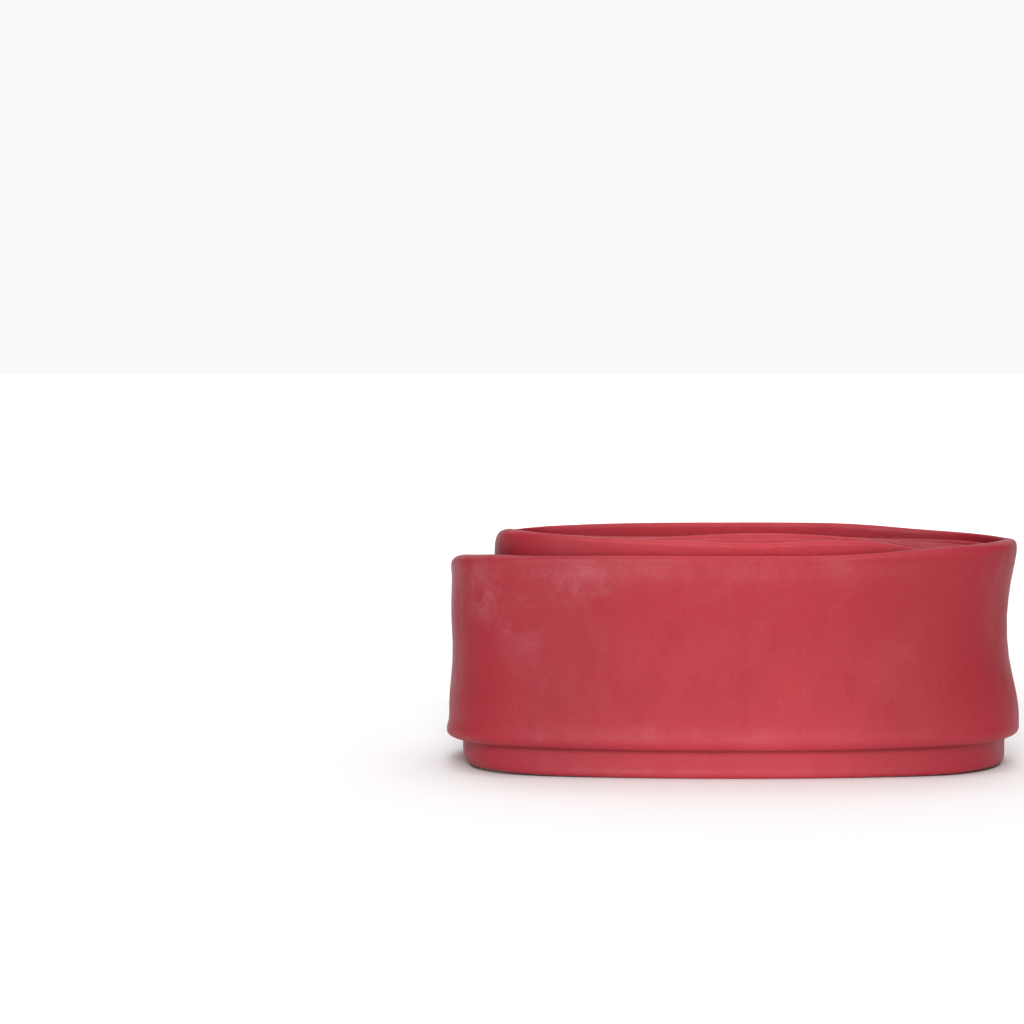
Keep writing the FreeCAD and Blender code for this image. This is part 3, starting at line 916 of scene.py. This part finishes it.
def latex_look(name, talc_share):
    look = Look(name, LATEX_RED, Subsurface_Weight=0.15, Subsurface_Scale=0.001, Sheen_Weight=0.03,
                Sheen_Roughness=0.5, Specular_IOR_Level=0.3)
    look.shader.inputs["Subsurface Radius"].default_value = (1.0, 0.35, 0.3)
    look.shader.inputs["Sheen Tint"].default_value = (1.0, 0.8, 0.82, 1)
    broad = look.noise(28, detail=2)
    cloth = look.noise(260, detail=4, roughness=0.6, place=look.stretched((1, 1, 0.35)))
    height, across = look.axis("Z"), look.maths("ABSOLUTE", look.axis("X"))
    look.tint_by(LATEX_WARM, broad, (0.52, 0.75), most=0.5)
    look.tint_by(LATEX_DEEP, cloth, (0.5, 0.8), most=0.3)
    # painted light: lighter towards the floor, in place of light bounced up from it
    look.tint_by(LATEX_LIT_LOW, height, LOW_LIGHT_HEIGHTS, most=0.6)
    # painted highlight along the upper rims of the roll
    look.tint_by(LATEX_RIM_HIGHLIGHT, height, RIM_HIGHLIGHT_HEIGHTS, most=0.5)
    # painted shade: deeper red towards both ends of the roll, where they turn away from the light
    look.tint_by(LATEX_DEEP, across, END_SHADE_SPAN, most=0.6)
    look.tint(TALC, talc(look, talc_share))
    look.tint(SPECK, specks(look))
    look.rough(cloth, 0.46, 0.6)
    look.bump(look.noise(85, detail=2, place=look.stretched((0.8, 1, 1))), distance=0.0003)
    look.bump(look.noise(1300, detail=4, roughness=0.65), distance=0.00009)
    return look.material


def metal_look(name, colour, roughness):
    """Turned metal: fine rings along the valve's axis, and a faint stain."""
    look = Look(name, colour, Metallic=1.0)
    rings = look.noise(1, detail=2, roughness=0.6, place=look.stretched((9000, 90, 90)))
    stain = look.noise(400, detail=3)
    look.tint_by([c * STAIN for c in colour], stain, (0.55, 0.9), most=0.35)
    look.rough(stain, roughness, roughness + 0.16)
    look.bump(rings, distance=0.00001)
    return look.material


def rubber_look(name, colour, roughness):
    """Moulded rubber or plastic: a fine grain under a greyish bloom."""
    look = Look(name, colour, IOR=1.5)
    bloom = look.noise(300, detail=4, roughness=0.6)
    look.tint_by([c * 0.5 + 0.05 for c in colour], bloom, (0.5, 0.8), most=0.5)
    look.rough(bloom, roughness - 0.08, roughness + 0.08)
    look.bump(look.noise(2600, detail=3, roughness=0.6), distance=0.00003)
    return look.material


# ---------------------------------------------------------------- stage, light and camera

FLOOR_HALF_LENGTH = 3000
FLOOR_HALF_DEPTH = 900
FLOOR_WHITE = (0.93, 0.93, 0.93)

# the world is a white room whose two sides are dark
ROOM_LIGHT = 0.95
ROOM_DARK = 0.05
ROOM_SIDES = (0.3, 0.9)

CAMERA_DISTANCE = 0.95
CAMERA_ELEVATION = 6.0
CAMERA_AIM = (-0.0404, 0.0, 0.0457)
CAMERA_SENSOR = 36
CAMERA_NEAR = 0.05
FRAME_WIDTH = 0.1862


def stage():
    look = Look("floor", FLOOR_WHITE)
    look.rough(look.noise(4, detail=2), 0.8, 0.9)
    x, y = FLOOR_HALF_LENGTH, FLOOR_HALF_DEPTH
    points = [(-x, -y, 0), (x, -y, 0), (x, y, 0), (-x, y, 0)]
    mesh_piece("floor", points, [(0, 1, 2, 3)], look.material, smooth=False)


def area_light(name, at, aim, size, power, spread=180):
    lamp = bpy.data.lights.new(name, "AREA")
    lamp.size = size
    lamp.energy = power
    lamp.spread = math.radians(spread)
    piece = bpy.data.objects.new(name, lamp)
    piece.location = at
    piece.rotation_euler = (Vector(aim) - Vector(at)).to_track_quat("-Z", "Y").to_euler()
    bpy.context.scene.collection.objects.link(piece)


def room():
    world = bpy.data.worlds.new("world")
    bpy.context.scene.world = world
    world.use_nodes = True
    tree = world.node_tree
    backdrop = tree.nodes["Background"].inputs
    backdrop["Color"].default_value = (1, 1, 1, 1)
    way = tree.nodes.new("ShaderNodeTexCoord").outputs["Generated"]
    split = tree.nodes.new("ShaderNodeSeparateXYZ")
    side = tree.nodes.new("ShaderNodeMath")
    side.operation = "ABSOLUTE"
    shade = tree.nodes.new("ShaderNodeMapRange")
    shade.interpolation_type = "SMOOTHSTEP"
    for socket, value in zip(("From Min", "From Max", "To Min", "To Max"),
                             (*ROOM_SIDES, ROOM_LIGHT, ROOM_DARK)):
        shade.inputs[socket].default_value = value
    tree.links.new(way, split.inputs["Vector"])
    tree.links.new(split.outputs["X"], side.inputs[0])
    tree.links.new(side.outputs["Value"], shade.inputs["Value"])
    tree.links.new(shade.outputs["Result"], backdrop["Strength"])


def lights():
    room()
    area_light("key", at=(-0.06, -0.72, 0.34), aim=(0, 0, 0.02), size=0.25, power=3.4)
    area_light("overhead", at=(0.1, 0.1, 1.4), aim=(0, 0, 0), size=1.2, power=3.4)
    area_light("floor behind", at=(-0.1, 0.75, 1.0), aim=(-0.1, 0.75, 0), size=0.8, power=2.5, spread=60)
    bpy.context.scene.view_settings.view_transform = "Standard"


def camera():
    data = bpy.data.cameras.new("camera")
    data.sensor_width = CAMERA_SENSOR
    data.lens = CAMERA_SENSOR * CAMERA_DISTANCE / FRAME_WIDTH
    data.clip_start = CAMERA_NEAR
    piece = bpy.data.objects.new("camera", data)
    tilt = math.radians(CAMERA_ELEVATION)
    piece.location = Vector(CAMERA_AIM) + Vector((0, -math.cos(tilt), math.sin(tilt))) * CAMERA_DISTANCE
    piece.rotation_euler = (math.pi / 2 - tilt, 0, 0)
    bpy.context.scene.collection.objects.link(piece)
    bpy.context.scene.camera = piece


def finish_nodes():
    """The small CAD pieces that keep their shape get their materials."""
    seal = rubber_look("seal_rubber", SEAL_BLACK, 0.6)
    brass = metal_look("retainer_brass", BRASS, 0.26)
    for name, material in (("core_gasket", seal), ("pin_seal", seal), ("seal_retainer", brass)):
        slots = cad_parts[name].data.materials
        slots.clear()
        slots.append(material)


brass = metal_look("brass", BRASS, 0.24)
latex_tube(latex_look("latex", TALC_SHARE))
valve_patch(latex_look("patch_latex", 0.0))
valve_foot(rubber_look("foot_rubber", FOOT_BLACK, 0.62))
valve_stem(metal_look("stem_nickel", NICKEL, 0.24))
core_body(brass)
core_pin(brass)
pin_nut(brass)
valve_cap(rubber_look("cap_plastic", CAP_BLACK, 0.42))
finish_nodes()
stage()
lights()
camera()
